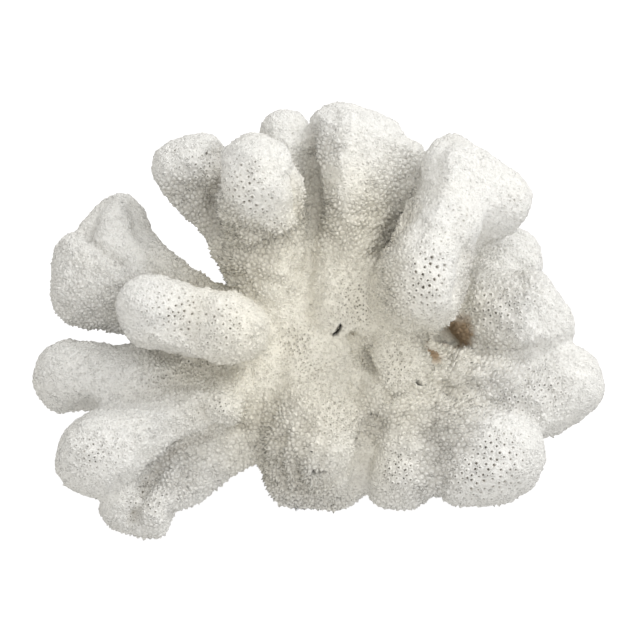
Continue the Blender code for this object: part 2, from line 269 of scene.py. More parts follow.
# Small damage: cracks from end to end in the view, how wide and how deep.
CRACKS = (
    ((4.1, 52.7), (5.3, 53.6), 0.45, 2.2),
    ((5.3, 53.6), (6.2, 55.5), 0.5, 2.2),
    ((-2.1, 11.4), (0.2, 11.6), 0.8, 3.4),
    ((29.2, 38.6), (31.5, 37.6), 0.5, 2.4),
    ((9.8, 82.0), (10.5, 82.1), 0.4, 1.6),
)

# Single pores that are wide and deep, as (across, up), painted near-black inside as shade.
DEEP_PORES = ((-43.2, 108.9), (-34.9, 107.4), (-2.4, 19.2))

# What each point of the surface keeps for the colour: dust and painted shade by how far down in a
# pit or a gap it lies, how old its growth is, whether it is stained, and whether it is in a hole,
# which is painted near-black as shade.
COLOURED_BY = ("pit", "age", "stain", "hole")


def linear(code):
    """A colour as written in hex for a screen, turned to linear light."""
    parts = [int(code[at : at + 2], 16) / 255 for at in (1, 3, 5)]
    return tuple(c / 12.92 if c <= 0.04045 else ((c + 0.055) / 1.055) ** 2.4 for c in parts) + (1,)


def pick_only(*things):
    bpy.ops.object.select_all(action="DESELECT")
    for thing in things:
        thing.select_set(True)
    bpy.context.view_layer.objects.active = things[0]


def add_modifier(thing, kind, **settings):
    """Adds a modifier and applies it."""
    pick_only(thing)
    modifier = thing.modifiers.new(kind.lower(), kind)
    for name, value in settings.items():
        setattr(modifier, name, value)
    bpy.ops.object.modifier_apply(modifier=modifier.name)


def points_of(mesh):
    flat = np.empty(len(mesh.vertices) * 3)
    mesh.vertices.foreach_get("co", flat)
    return flat.reshape(-1, 3)


def normals_of(mesh):
    flat = np.empty(len(mesh.vertices) * 3)
    mesh.vertex_normals.foreach_get("vector", flat)
    return flat.reshape(-1, 3)


def mesh_lists(mesh):
    points = [vertex.co.copy() for vertex in mesh.vertices]
    return points, [tuple(face.vertices) for face in mesh.polygons]


def move_points(mesh, points):
    mesh.vertices.foreach_set("co", points.ravel())
    mesh.update()


def eased(value, low, high):
    """0 below low, 1 above high and a soft step between."""
    step = np.clip((value - low) / (high - low), 0, 1)
    return step * step * (3 - 2 * step)


def unit(vectors):
    return vectors / np.maximum(np.linalg.norm(vectors, axis=1, keepdims=True), 1e-12)


def distance(points, place):
    return np.linalg.norm(points - place, axis=1)


def along_skin(vectors, normals):
    """The part of each vector that runs along the skin."""
    return vectors - normals * np.sum(vectors * normals, axis=1, keepdims=True)


def grain(points, length, seed):
    """Smooth noise from -1 to 1, with lumps of that length."""
    away = Vector((seed * 3.7, seed * 1.9, seed * 5.3))
    return np.array([noise.noise(Vector(point) / (length * MM) + away) for point in points])


# The skin


def grown_skin():
    """One surface over all the solids, grown together and rounded where they meet."""
    copies = []
    for name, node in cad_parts.items():
        copy = bpy.data.objects.new("skin_of_" + name, node.data.copy())
        bpy.context.scene.collection.objects.link(copy)
        pick_only(copy)
        bpy.ops.object.mode_set(mode="EDIT")
        bpy.ops.mesh.select_all(action="SELECT")
        bpy.ops.mesh.remove_doubles(threshold=0.01 * MM)
        bpy.ops.object.mode_set(mode="OBJECT")
        points = points_of(copy.data)
        if name == "body":
            points[points[:, 2] < 0.001 * MM, 2] = -FOOT_BELOW_TABLE * MM
            move_points(copy.data, points)
        copies.append(copy)
    for copy in copies:
        add_modifier(copy, "SUBSURF", levels=2, render_levels=2)
        add_modifier(copy, "DISPLACE", strength=SWELL_OVER_SOLIDS * MM, mid_level=0)
    pick_only(*copies)
    bpy.ops.object.join()
    skin = copies[0]
    skin.name = "skin"
    add_modifier(skin, "REMESH", mode="VOXEL", voxel_size=SKIN_GRAIN * MM)
    add_modifier(skin, "SMOOTH", factor=0.5, iterations=SKIN_ROUNDING)
    keep_largest_part(skin)
    fold(skin)
    return skin


def keep_largest_part(thing):
    """Drops the closed pockets that the solids left inside."""
    shape = bmesh.new()
    shape.from_mesh(thing.data)
    left = set(shape.verts)
    parts = []
    while left:
        part = [left.pop()]
        for vertex in part:
            for edge in vertex.link_edges:
                other = edge.other_vert(vertex)
                if other in left:
                    left.remove(other)
                    part.append(other)
        parts.append(part)
    parts.sort(key=len)
    pockets = [vertex for part in parts[:-1] for vertex in part]
    bmesh.ops.delete(shape, geom=pockets, context="VERTS")
    shape.to_mesh(thing.data)
    shape.free()


def fold(skin):
    """Presses the grooves into the skin and raises the ridges."""
    tree = BVHTree.FromPolygons(*mesh_lists(skin.data))
    points = points_of(skin.data)
    inward = np.zeros(len(points))
    for width, depth, line in FOLDS.values():
        stops = [seen_at(tree, across, up) for across, up in line]
        away = np.full(len(points), np.inf)
        for start, end in zip(stops[:-1], stops[1:]):
            away = np.minimum(away, distance_to_line(points, start, end))
        inward += depth * np.exp(-((away / (width * MM)) ** 2))
    move_points(skin.data, points - normals_of(skin.data) * inward[:, None] * MM)


def distance_to_line(points, start, end):
    along = end - start
    share = np.clip((points - start) @ along / (along @ along), 0, 1)
    return np.linalg.norm(points - start - share[:, None] * along, axis=1)


def roughen_slowly(skin, cover):
    """The uneven swelling of grown coral, larger than the cups and roughest under the hoods."""
    points = points_of(skin.data)
    normals = normals_of(skin.data)
    fine = FINE_SWELLING + FINE_SWELLING_BY_HOOD * cover.at(points, normals)[0]
    swelling = BROAD_SWELLING * grain(points, BROAD_LUMPS, 1) + fine * grain(points, FINE_LUMPS, 2)
    move_points(skin.data, points + normals * swelling[:, None] * MM)


# Where the cups change


def seen_at(skin_tree, across, up):
    """The point of the skin that the camera sees there."""
    sideways = Vector((across * MM, 0, 0))
    start = sideways + UP_THE_VIEW * ((up - FOOT_UP_THE_VIEW) * MM) + TO_CAMERA
    hit = skin_tree.ray_cast(start, -TO_CAMERA)[0]
    return np.array(hit if hit else start - TO_CAMERA)


class Cover:
    """What the cups are like at any point of the skin."""

    def __init__(self, skin_tree):
        self.seen = np.array([seen_at(skin_tree, p[0], p[1]) for p in PLACES.values()])
        self.reach = np.array([p[2] for p in PLACES.values()]) * MM
        self.looks = np.array([p[3:6] for p in PLACES.values()])

    def at(self, points, normals):
        """Hood height, spacing in metres and pit radius in metres for each point."""
        out = distance(points, BOWL) / MM
        ends = eased(out, *BRANCH_ENDS)
        bowl = 1 - eased(out, *BOWL_EDGE)
        below = eased(-normals[:, 2], *FACING_DOWN)
        hood = (FLANK_HOOD - END_HOOD_LESS * ends) * (1 - bowl) + BOWL_HOOD * bowl
        hood = np.maximum(hood, HOOD_BELOW * below)
        spacing = FLANK_SPACING + END_SPACING_MORE * ends - BOWL_SPACING_LESS * bowl
        pit = FLANK_PIT - BOWL_PIT_LESS * bowl
        total = np.full(len(points), UNNAMED_WEIGHT)
        looks = np.stack([hood, spacing, pit], axis=1) * UNNAMED_WEIGHT
        for place, reach, look in zip(self.seen, self.reach, self.looks):
            away = distance(points, place) / reach
            weight = np.exp(-away * away)
            total += weight
            looks += weight[:, None] * look
        looks /= total[:, None]
        sawn = (points[:, 2] < 0) & ((normals[:, 2] < -0.3) | (points[:, 2] < -2 * MM))
        looks[sawn] = SAWN_LOOK
        return looks[:, 0], looks[:, 1] * MM, looks[:, 2] * MM


# One point for each cup


def evened_points(skin, skin_tree, cover):
    """A net of triangles over the skin with one point for each cup, as far apart as they are."""
    net = skin.copy()
    net.data = skin.data.copy()
    bpy.context.scene.collection.objects.link(net)
    add_modifier(net, "REMESH", mode="VOXEL", voxel_size=CUP_GRAIN * MM)
    keep_largest_part(net)
    shape = bmesh.new()
    shape.from_mesh(net.data)
    bpy.data.objects.remove(net)
    bmesh.ops.triangulate(shape, faces=shape.faces)
    shake(shape, skin_tree, SHAKEN_BEFORE * MM)
    for turn in range(NET_TURNS):
        split_long_edges(shape, cover)
        join_short_edges(shape, cover)
        bmesh.ops.beautify_fill(shape, faces=shape.faces, edges=shape.edges)
        relax(shape, skin_tree)
    shake(shape, skin_tree, SHAKEN_AFTER * MM)
    untangle(shape)
    return shape


def as_arrays(shape):
    shape.verts.index_update()
    shape.normal_update()
    points = np.array([vertex.co for vertex in shape.verts])
    normals = np.array([vertex.normal for vertex in shape.verts])
    ends = np.array([[vertex.index for vertex in edge.verts] for edge in shape.edges])
    return points, normals, ends


def edge_lengths(shape, cover):
    """Each edge's length over the length that it should have."""
    points, normals, ends = as_arrays(shape)
    spacing = cover.at(points, normals)[1]
    length = np.linalg.norm(points[ends[:, 0]] - points[ends[:, 1]], axis=1)
    return length / spacing[ends].mean(axis=1)


def split_long_edges(shape, cover):
    length = edge_lengths(shape, cover)
    edges = list(shape.edges)
    long = [edges[at] for at in np.flatnonzero(length > SPLIT_ABOVE)]
    bmesh.ops.subdivide_edges(shape, edges=long, cuts=1)
    bmesh.ops.triangulate(shape, faces=[face for face in shape.faces if len(face.verts) > 3])


def join_short_edges(shape, cover):
    """Closes short edges that are clear of each other, where the surface stays whole."""
    length = edge_lengths(shape, cover)
    edges = list(shape.edges)
    short = []
    busy = set()
    for at in np.argsort(length):
        if length[at] > CLOSE_BELOW:
            break
        first, second = edges[at].verts
        if first in busy or second in busy:
            continue
        around_first = {edge.other_vert(first) for edge in first.link_edges}
        around_second = {edge.other_vert(second) for edge in second.link_edges}
        shared = around_first & around_second
        if len(shared) != 2 or any(len(vertex.link_edges) < 5 for vertex in shared):
            continue
        short.append(edges[at])
        busy |= around_first | around_second
    bmesh.ops.collapse(shape, edges=short)


def put_back(shape, skin_tree, points):
    for vertex, point in zip(shape.verts, points):
        vertex.co = skin_tree.find_nearest(Vector(point))[0]


def relax(shape, skin_tree):
    """Moves each point towards the middle of its neighbours, along the skin."""
    points, normals, ends = as_arrays(shape)
    count = np.bincount(ends.ravel(), minlength=len(points))[:, None]
    for turn in range(RELAXING_TURNS):
        middle = np.zeros_like(points)
        np.add.at(middle, ends[:, 0], points[ends[:, 1]])
        np.add.at(middle, ends[:, 1], points[ends[:, 0]])
        points += RELAXING * along_skin(middle / count - points, normals)
    put_back(shape, skin_tree, points)


def shake(shape, skin_tree, size):
    """Moves each point a little way by chance, so that the cups stand in no pattern."""
    points = as_arrays(shape)[0]
    put_back(shape, skin_tree, points + CHANCE.uniform(-size, size, points.shape))


def untangle(shape):
    """Evens out the places in narrow gaps where the net folds back over itself."""
    for turn in range(UNTANGLING_TURNS):
        shape.normal_update()
        tangled = set()
        for edge in shape.edges:
            one, other = edge.link_faces
            if one.normal.dot(other.normal) < 0:
                tangled.update(one.verts)
                tangled.update(other.verts)
        places = []
        for vertex in tangled:
            ring = [edge.other_vert(vertex).co for edge in vertex.link_edges]
            places.append(sum(ring, Vector()) / len(ring))
        for vertex, place in zip(tangled, places):
            vertex.co = place


# The cups


# How hooded a cup is: what place to place and chance add, and the most that it can be.
HOOD_DRIFT = 0.12
HOOD_DRIFT_ACROSS = 5
HOOD_CHANCE = 0.05
HOOD_MOST = 1.6

# How much the cups differ in size, how open their pores are, and the painted shade in their pits.
SIZES = (0.7, 1.3)
DEEP_PORE_RADIUS = 0.5
OPEN_ANYWHERE = 0.1
OPEN_IN_PATCHES = 1.3
OPEN_BY_CHANCE = (0.5, 1.1)
PIT_SHADE_SHUT = 0.15
PIT_SHADE_OPEN_MORE = 0.85

# The borders between cups: how shaggy they lie, how deep they sink, their dust and painted shade.
SHAGGY = (0.1, 0.9)
BORDER_SUNK = 0.07
BORDER_SUNK_SHAGGY = 0.45
BORDER_CHANCE = 0.1
BORDER_DUST_AND_SHADE = 0.04
BORDER_DUST_AND_SHADE_SHAGGY = 0.42

# How hooded a cup is before its rim stands up, and before it stands on one side only.
STANDING = (0.15, 0.6)
ONE_SIDED = (0.3, 0.8)

# How high the rim is, how much lower on the side towards the branch end, and how it leans.
MOUND_HEIGHT = 0.06
HOOD_HEIGHT = 0.85
HOOD_HEIGHT_POWER = 1.3
LOWER_UPHILL = 0.65
UPHILL = (-0.6, 0.6)
LEAN = 0.05
LEAN_ONE_SIDED = 0.75

# How ragged and lumpy the rim is.
RAGGED = 0.3
RAGGED_BY_HOOD = 1.3
RAGGED_LIMITS = (0.35, 1.5)
LUMPS = 0.09

# The pit's radius and depth, from shut to open. A standing rim narrows to a knob over it.
PIT_SHARE = 0.9
PIT_SHUT = 0.7
PIT_OPEN_MORE = 0.3
PIT_OPEN_LEAST = 0.24
PIT_OF_ROOM = 0.5
KNOB_OF_ROOM = 0.32
KNOB_OPEN_LESS = 0.6
DEPTH_SHUT = 0.3
DEPTH_OPEN_MORE = 0.3
DEPTH_BY_RADIUS = 1.7
DEPTH_STANDING_LESS = 0.5

# Where the rings lie, as shares of the room that the cup has, of its rim and of its height.
OUTER_OF_ROOM = 0.72
OUTER_STANDING_LESS = 0.18
OUTER_WITHIN = 0.85
INNER_WITHIN = 0.72
BLADE_THINNED = 0.7
BLADE_FOOT_THINNED = 0.5
OUTER_LOWER = 0.34
DIMPLE = 0.08
SIDE_OF_INNER = 0.75
SIDE_STANDING_LESS = 0.15
SIDE_OF_DEPTH = 0.85
SIDE_RAISED = 0.6

# Looking across narrow gaps and through thin branches, in millimetres and as shares of what is
# found there.
LOOKING_FAR = 6
ABOVE_SKIN = 0.15
UNDER_SKIN = 0.3
FREE_ANYWHERE = 9
FREE_OF_GAP = 0.25
WALL_OF_BRANCH = 0.4


def growth_direction(points, normals):
    """Along the skin towards the branch ends, where the hoods lean."""
    return unit(along_skin(unit(points - GROWTH_START), normals))


def corners_before(count):
    """For each corner of each triangle, the corner before it in the same triangle."""
    return np.roll(np.arange(count).reshape(-1, 3), 1, axis=1).ravel()


def half_edges(corners, count):
    """For each corner of each triangle, the next corner round the same point."""
    start = corners.ravel()
    end = np.roll(corners, -1, axis=1).ravel()
    key = start * count + end
    order = np.argsort(key)
    before = corners_before(len(start))
    wanted = end[before] * count + start[before]
    return start, order[np.searchsorted(key[order], wanted)]


class Cups:
    """All the cups of the coral as arrays: a ring of points for each height of a cup."""

    def __init__(self, net, skin_tree, cover):
        self.points, self.normals, self.ends = as_arrays(net)
        self.corners = np.array([[vertex.index for vertex in face.verts] for face in net.faces])
        self.start, self.after = half_edges(self.corners, len(self.points))
        self.triangle = np.arange(len(self.start)) // 3
        self.shape_cups(cover, skin_tree)

    def shape_cups(self, cover, skin_tree):
        """Lays all the rings of points, from the shared borders in to the ends of the pits."""
        hood, _, pit = cover.at(self.points, self.normals)
        count = len(self.points)
        drift = HOOD_DRIFT * grain(self.points, HOOD_DRIFT_ACROSS, 3)
        hood = np.clip(hood + (drift + CHANCE.normal(0, HOOD_CHANCE, count)), 0, HOOD_MOST)
        sizes = CHANCE.uniform(*SIZES, (count, 3))
        self.hole = np.zeros(count)
        for across, up in DEEP_PORES:
            nearest = distance(self.points, seen_at(skin_tree, across, up)).argmin()
            pit[nearest] = DEEP_PORE_RADIUS * MM
            self.hole[nearest] = 1
        opened = self.openness(skin_tree)
        # Open pores are painted darker down their pits: painted shade.
        self.pit_shade = PIT_SHADE_SHUT + PIT_SHADE_OPEN_MORE * opened
        middle = self.sink_borders(hood)
        self.raise_rims(skin_tree, middle, hood, pit, opened, sizes)
        self.keep_above_table()
        wall = self.wall_at(middle, self.border_normals, skin_tree)
        self.inside = self.border - self.border_normals * wall
        self.inside[:, 2] = np.maximum(self.inside[:, 2], WALL * MM)

    def openness(self, skin_tree):
        """How open each cup's pore is."""
        opened = np.zeros(len(self.points))
        for across, up, reach in OPEN_PORES:
            away = distance(self.points, seen_at(skin_tree, across, up))
            opened = np.maximum(opened, np.exp(-((away / (reach * MM)) ** 2)))
        opened = OPEN_ANYWHERE + OPEN_IN_PATCHES * opened
        opened = np.clip(opened * CHANCE.uniform(*OPEN_BY_CHANCE, len(opened)), 0, 1)
        return np.maximum(opened, self.hole)

    def sink_borders(self, hood):
        """Lays the shared borders between cups, sunk where the hoods are high."""
        middle = self.points[self.corners].mean(axis=1)
        outward = unit(self.normals[self.corners].mean(axis=1))
        shaggy = eased(hood[self.corners].mean(axis=1), *SHAGGY)
        # The borders are painted darker where the hoods are shaggy: dust and painted shade in the
        # gaps.
        self.gap_dust_and_shade = BORDER_DUST_AND_SHADE + BORDER_DUST_AND_SHADE_SHAGGY * shaggy
        chance = CHANCE.uniform(-BORDER_CHANCE, BORDER_CHANCE, len(middle))
        sunk = (BORDER_SUNK + BORDER_SUNK_SHAGGY * shaggy + chance) * MM
        self.border = middle - outward * sunk[:, None]
        self.border_normals = outward
        return middle

    def raise_rims(self, skin_tree, middle, hood, pit, opened, sizes):
        """Shapes the rim and the pit of each cup.

        Smooth cups are low mounds round the pit. Hoods stand up as blades over it, on the side
        that lies away from the branch end, and lean towards that end.
        """
        cup = self.start
        normal = self.normals[cup]
        to_border = along_skin(middle[self.triangle] - self.points[cup], normal)
        room = np.linalg.norm(to_border, axis=1)
        direction = unit(to_border)
        steady_room = np.bincount(cup, room) / np.bincount(cup)
        lean_to = growth_direction(self.points, self.normals)
        uphill = np.sum(direction * lean_to[cup], axis=1)
        stands = eased(hood, *STANDING)
        one_sided = eased(hood, *ONE_SIDED)[cup]

        # Heights, ragged from one border point to the next.
        ragged = CHANCE.normal(0, RAGGED, (3, len(cup)))
        ragged = (ragged + ragged[:, self.after]) * np.minimum(RAGGED_BY_HOOD * hood, 1)[cup]
        ragged = np.clip(1 + ragged, *RAGGED_LIMITS)
        lumps = CHANCE.normal(0, LUMPS, (2, len(cup))) * MM
        height = (MOUND_HEIGHT + HOOD_HEIGHT * hood**HOOD_HEIGHT_POWER) * sizes[:, 0] * MM
        height = np.minimum(height, self.free_height(skin_tree, lean_to))
        tall = 1 - one_sided * LOWER_UPHILL * eased(uphill, *UPHILL)
        height = np.maximum(height[cup] * tall * ragged[0] + lumps[0], 0)
        lean = height * (LEAN + LEAN_ONE_SIDED * one_sided)
        rise = normal * height[:, None] + lean_to[cup] * lean[:, None]

        # The pit, as wide at its top as the knob over it.
        radius = PIT_SHARE * pit * (PIT_SHUT + PIT_OPEN_MORE * opened)
        radius = np.maximum(radius, PIT_OPEN_LEAST * opened * MM) * sizes[:, 1]
        radius = np.minimum(radius, PIT_OF_ROOM * steady_room)
        knob = np.maximum(KNOB_OF_ROOM * steady_room - radius, 0)
        top = radius + stands * (1 - KNOB_OPEN_LESS * opened) * knob
        deeper = (DEPTH_OPEN_MORE + DEPTH_BY_RADIUS * radius / MM) * opened
        depth = (DEPTH_SHUT + deeper) * sizes[:, 2] * MM
        depth *= 1 - DEPTH_STANDING_LESS * stands * (1 - opened)

        # The rings. A blade is thinned across the direction in which it leans.
        base = self.points[cup]
        stands = stands[cup]
        outer = (OUTER_OF_ROOM - OUTER_STANDING_LESS * stands) * ragged[1] * steady_room[cup]
        outer = np.minimum(outer, OUTER_WITHIN * room)
        inner = np.minimum(top[cup], INNER_WITHIN * outer)
        blade = BLADE_THINNED * one_sided * (1 - opened[cup])
        narrow = direction - lean_to[cup] * uphill[:, None]
        along_blade = direction - narrow * blade[:, None]
        along_foot = direction - narrow * BLADE_FOOT_THINNED * blade[:, None]
        self.rim_outer = base + along_foot * outer[:, None]
        self.rim_outer += rise * ((1 - OUTER_LOWER * stands) * ragged[2])[:, None]
        dimple = normal * (DIMPLE * (1 - stands) * MM + lumps[1])[:, None]
        self.rim_inner = base + along_blade * inner[:, None] + rise - dimple
        side = inner * (SIDE_OF_INNER - SIDE_STANDING_LESS * stands)
        sink = depth[cup] * SIDE_OF_DEPTH - SIDE_RAISED * stands * height
        self.pit_side = base + along_blade * side[:, None]
        self.pit_side -= normal * sink[:, None]
        self.pit_end = self.points - self.normals * depth[:, None]

    def free_height(self, skin_tree, lean_to):
        """How high each cup may stand before it meets the skin across a narrow gap."""
        free = np.full(len(self.points), FREE_ANYWHERE * MM)
        for at, (point, normal) in enumerate(zip(self.points, self.normals)):
            start = Vector(point + normal * ABOVE_SKIN * MM)
            for way in (normal, normal + lean_to[at]):
                way = Vector(way).normalized()
                across = skin_tree.ray_cast(start, way, LOOKING_FAR * MM)[3]
                if across is not None:
                    free[at] = min(free[at], FREE_OF_GAP * across)
        return free

    def wall_at(self, points, outward, skin_tree):
        """The wall's thickness, less where a branch is thin."""
        wall = np.full((len(points), 1), WALL * MM)
        for at, (point, normal) in enumerate(zip(points, outward)):
            start = Vector(point - normal * UNDER_SKIN * MM)
            through = skin_tree.ray_cast(start, -Vector(normal), LOOKING_FAR * MM)[3]
            if through is not None:
                wall[at] = min(WALL * MM, WALL_OF_BRANCH * through)
        return wall

    def keep_above_table(self):
        """The foot is sawn off at the table."""
        for ring in (self.border, self.rim_outer, self.rim_inner, self.pit_side, self.pit_end):
            ring[:, 2] = np.maximum(ring[:, 2], 0)


# The cups on a boundary between branches take the branch of most of their neighbours. A cup's own
# branch counts for more than one neighbour's.
VOTES = 3
OWN_VOTE = 1.5


def settle_owners(cups, solids):
    """The branch that each cup belongs to, with no strays."""
    trees = {name: BVHTree.FromPolygons(*mesh_lists(node.data)) for name, node in solids.items()}
    names = sorted(trees)
    owner = np.zeros(len(cups.points), int)
    for at, point in enumerate(cups.points):
        place = Vector(point)
        away = [trees[name].find_nearest(place)[3] for name in names]
        owner[at] = int(np.argmin(away))
    neighbours = [[] for point in cups.points]
    for first, second in cups.ends:
        neighbours[first].append(second)
        neighbours[second].append(first)
    for turn in range(VOTES):
        votes = np.zeros((len(owner), len(names)))
        np.add.at(votes, (cups.ends[:, 0], owner[cups.ends[:, 1]]), 1)
        np.add.at(votes, (cups.ends[:, 1], owner[cups.ends[:, 0]]), 1)
        votes[np.arange(len(owner)), owner] += OWN_VOTE
        owner = votes.argmax(axis=1)
    return names, without_strays(owner, neighbours, len(names))


def without_strays(owner, neighbours, kinds):
    """Gives every patch that is cut off from its branch to the branch around it."""
    seen = np.zeros(len(owner), bool)
    patches = []
    for first in range(len(owner)):
        if seen[first]:
            continue
        seen[first] = True
        patch = [first]
        for at in patch:
            for other in neighbours[at]:
                if not seen[other] and owner[other] == owner[first]:
                    seen[other] = True
                    patch.append(other)
        patches.append(patch)
    for kind in range(kinds):
        own = sorted((p for p in patches if owner[p[0]] == kind), key=len)
        for patch in own[:-1]:
            inside = set(patch)
            around = [owner[o] for at in patch for o in neighbours[at] if o not in inside]
            owner[patch] = np.bincount(around).argmax()
    return owner


# Colour that follows the growth


# Old growth turns to new between these distances from the bowl, with drifting edges. Stains
# end between these shares of their reach. Grooves deeper than the first depth below are painted
# darker, with dust and painted shade.
OLD_GROWTH = (28, 66)
OLD_GROWTH_DRIFT = 6
OLD_GROWTH_DRIFT_ACROSS = 14
STAIN_EDGE = (0.7, 1.3)
STAIN_DRIFT = 0.3
STAIN_DRIFT_ACROSS = 3
DUST_AND_SHADE_FROM = 1.5
DUST_AND_SHADE_BY_DEPTH = 0.12
DUST_AND_SHADE_OF_WIDTH = 0.6


def painted(cups, skin_tree):
    """For each cup: its growth's age, its stain and its groove's dust and painted shade."""
    out = distance(cups.points, BOWL) / MM
    drift = OLD_GROWTH_DRIFT * grain(cups.points, OLD_GROWTH_DRIFT_ACROSS, 5)
    age = 1 - eased(out + drift, *OLD_GROWTH)
    drift = STAIN_DRIFT * grain(cups.points, STAIN_DRIFT_ACROSS, 7)
    stain = np.zeros(len(cups.points))
    for across, up, reach in STAINS:
        away = distance(cups.points, seen_at(skin_tree, across, up)) / (reach * MM)
        stain = np.maximum(stain, 1 - eased(away + drift, *STAIN_EDGE))
    # Grooves are painted darker along their line: dust and painted shade.
    groove_dust_and_shade = np.zeros(len(cups.points))
    for width, depth, line in FOLDS.values():
        stops = [seen_at(skin_tree, across, up) for across, up in line]
        for start, end in zip(stops[:-1], stops[1:]):
            away = distance_to_line(cups.points, start, end) / (DUST_AND_SHADE_OF_WIDTH * width * MM)
            groove_dust_and_shade = np.maximum(groove_dust_and_shade, DUST_AND_SHADE_BY_DEPTH * (depth - DUST_AND_SHADE_FROM) * np.exp(-away * away))
    return age, stain, groove_dust_and_shade


# The pieces


# How much painted shade the inner rim and the side of a pit get, as shares of what its end gets.
RIM_SHADE = 0.3
SIDE_SHADE = 0.85


class Relief:
    """The coral's whole surface as arrays of points, faces and what colours them."""

    def __init__(self, cups, age, stain, groove_dust_and_shade):
        self.cups = cups
        triangles = len(cups.corners)
        rings = len(cups.start)
        self.first = np.cumsum([0, triangles, rings, rings, rings, len(cups.points)])
        rings = (cups.border, cups.rim_outer, cups.rim_inner, cups.pit_side, cups.pit_end)
        self.points = np.concatenate(rings + (cups.inside,))
        self.age = self.spread(age)
        self.stain = self.spread(stain)
        # The pit value is dust and painted shade: in the gaps between cups, down each pit and in
        # grooves.
        cup_pit_shade = cups.pit_shade[cups.start]
        nothing = np.zeros(triangles)
        pit = (cups.gap_dust_and_shade, 0 * cup_pit_shade, RIM_SHADE * cup_pit_shade, SIDE_SHADE * cup_pit_shade, cups.pit_shade)
        self.pit = np.concatenate(pit + (nothing + 1,)) + self.spread(groove_dust_and_shade)
        painted_hole_shade = cups.hole[cups.start]
        self.hole = np.concatenate((nothing, 0 * painted_hole_shade, 0 * painted_hole_shade, painted_hole_shade, cups.hole, nothing))
        outward = (cups.border_normals,) + (cups.normals[cups.start],) * 3
        outward += (cups.normals, cups.border_normals)
        self.outward = np.concatenate(outward)
        self.build_faces()

    def spread(self, value):
        """What each point of the surface gets of a value that each cup has."""
        shared = value[self.cups.corners].mean(axis=1)
        around = value[self.cups.start]
        return np.concatenate((shared, around, around, around, value, shared))

    def build_faces(self):
        cups = self.cups
        here = np.arange(len(cups.start))
        there = cups.after
        border, outer, inner, side, end, inside = self.first
        at_here = border + cups.triangle
        at_there = border + cups.triangle[there]
        self.quads = np.concatenate((
            np.stack((at_here, at_there, outer + there, outer + here), axis=1),
            np.stack((outer + here, outer + there, inner + there, inner + here), axis=1),
            np.stack((inner + here, inner + there, side + there, side + here), axis=1),
        ))
        self.quad_cup = np.tile(cups.start, 3)
        self.floors = np.stack((side + here, side + there, end + cups.start), axis=1)
        self.floor_cup = cups.start
        self.walls = np.stack(
            (at_there, at_here, inside + cups.triangle, inside + cups.triangle[there]), axis=1
        )

    def inner_faces(self):
        """One many-sided face inside each cup, so that each piece closes."""
        after = self.cups.after
        inside = self.first[5]
        faces = [None] * len(self.cups.points)
        for step, cup in enumerate(self.cups.start):
            if faces[cup] is not None:
                continue
            loop = [step]
            at = after[step]
            while at != step:
                loop.append(at)
                at = after[at]
            faces[cup] = [int(inside + self.cups.triangle[at]) for at in reversed(loop)]
        return faces

    def smooth_normals(self):
        normals = np.zeros_like(self.points)
        for faces in (self.quads, self.floors):
            corners = self.points[faces]
            across = corners[:, 2] - corners[:, 0]
            other = corners[:, -1] - corners[:, 1]
            face_normals = np.cross(across, other)
            for at in range(faces.shape[1]):
                np.add.at(normals, faces[:, at], face_normals)
        inside = self.first[5]
        normals[inside:] = -self.outward[inside:]
        return unit(normals)


def crack(relief, skin_tree):
    """Opens the small cracks and paints them near-black as shade."""
    for (start_across, start_up), (end_across, end_up), width, depth in CRACKS:
        start = seen_at(skin_tree, start_across, start_up)
        end = seen_at(skin_tree, end_across, end_up)
        away = distance_to_line(relief.points, start, end) / MM
        near = (away < width) & (np.arange(len(away)) < relief.first[5])
        relief.points[near] -= relief.outward[near] * depth * MM
        relief.hole[near] = 1


def add_piece(name, relief, mine, inner_faces, normals, material):
    """The surface of one branch, closed on its inside."""
    cups = relief.cups
    quads = relief.quads[mine[relief.quad_cup]]
    floors = relief.floors[mine[relief.floor_cup]]
    at_edge = mine[cups.start] & ~mine[cups.start[corners_before(len(cups.start))]]
    walls = relief.walls[at_edge]
    inner = [inner_faces[cup] for cup in np.flatnonzero(mine)]
    corners = (quads.ravel(), floors.ravel(), walls.ravel(), np.concatenate(inner))
    used = np.unique(np.concatenate(corners))
    place = np.full(len(relief.points), -1)
    place[used] = np.arange(len(used))
    faces = place[quads].tolist() + place[floors].tolist() + place[walls].tolist()
    faces += [place[face].tolist() for face in inner]
    mesh = bpy.data.meshes.new(name)
    mesh.from_pydata(relief.points[used].tolist(), [], faces)
    mesh.shade_smooth()
    for word in COLOURED_BY:
        layer = mesh.attributes.new(word, "FLOAT", "POINT")
        layer.data.foreach_set("value", getattr(relief, word)[used].astype(np.float32))
    mesh.normals_split_custom_set_from_vertices(normals[used].tolist())
    mesh.materials.append(material)
    piece = bpy.data.objects.new(name, mesh)
    bpy.context.scene.collection.objects.link(piece)
    return piece


# The material


def add_node(tree, kind, settings=(), links=()):
    """Adds a node, sets its properties and sockets, and links other nodes' outputs to it."""
    node = tree.nodes.new(kind)
    for name, value in dict(settings).items():
        if isinstance(name, str) and hasattr(node, name):
            setattr(node, name, value)
        else:
            node.inputs[name].default_value = value
    for name, output in dict(links).items():
        tree.links.new(output, node.inputs[name])
    return node


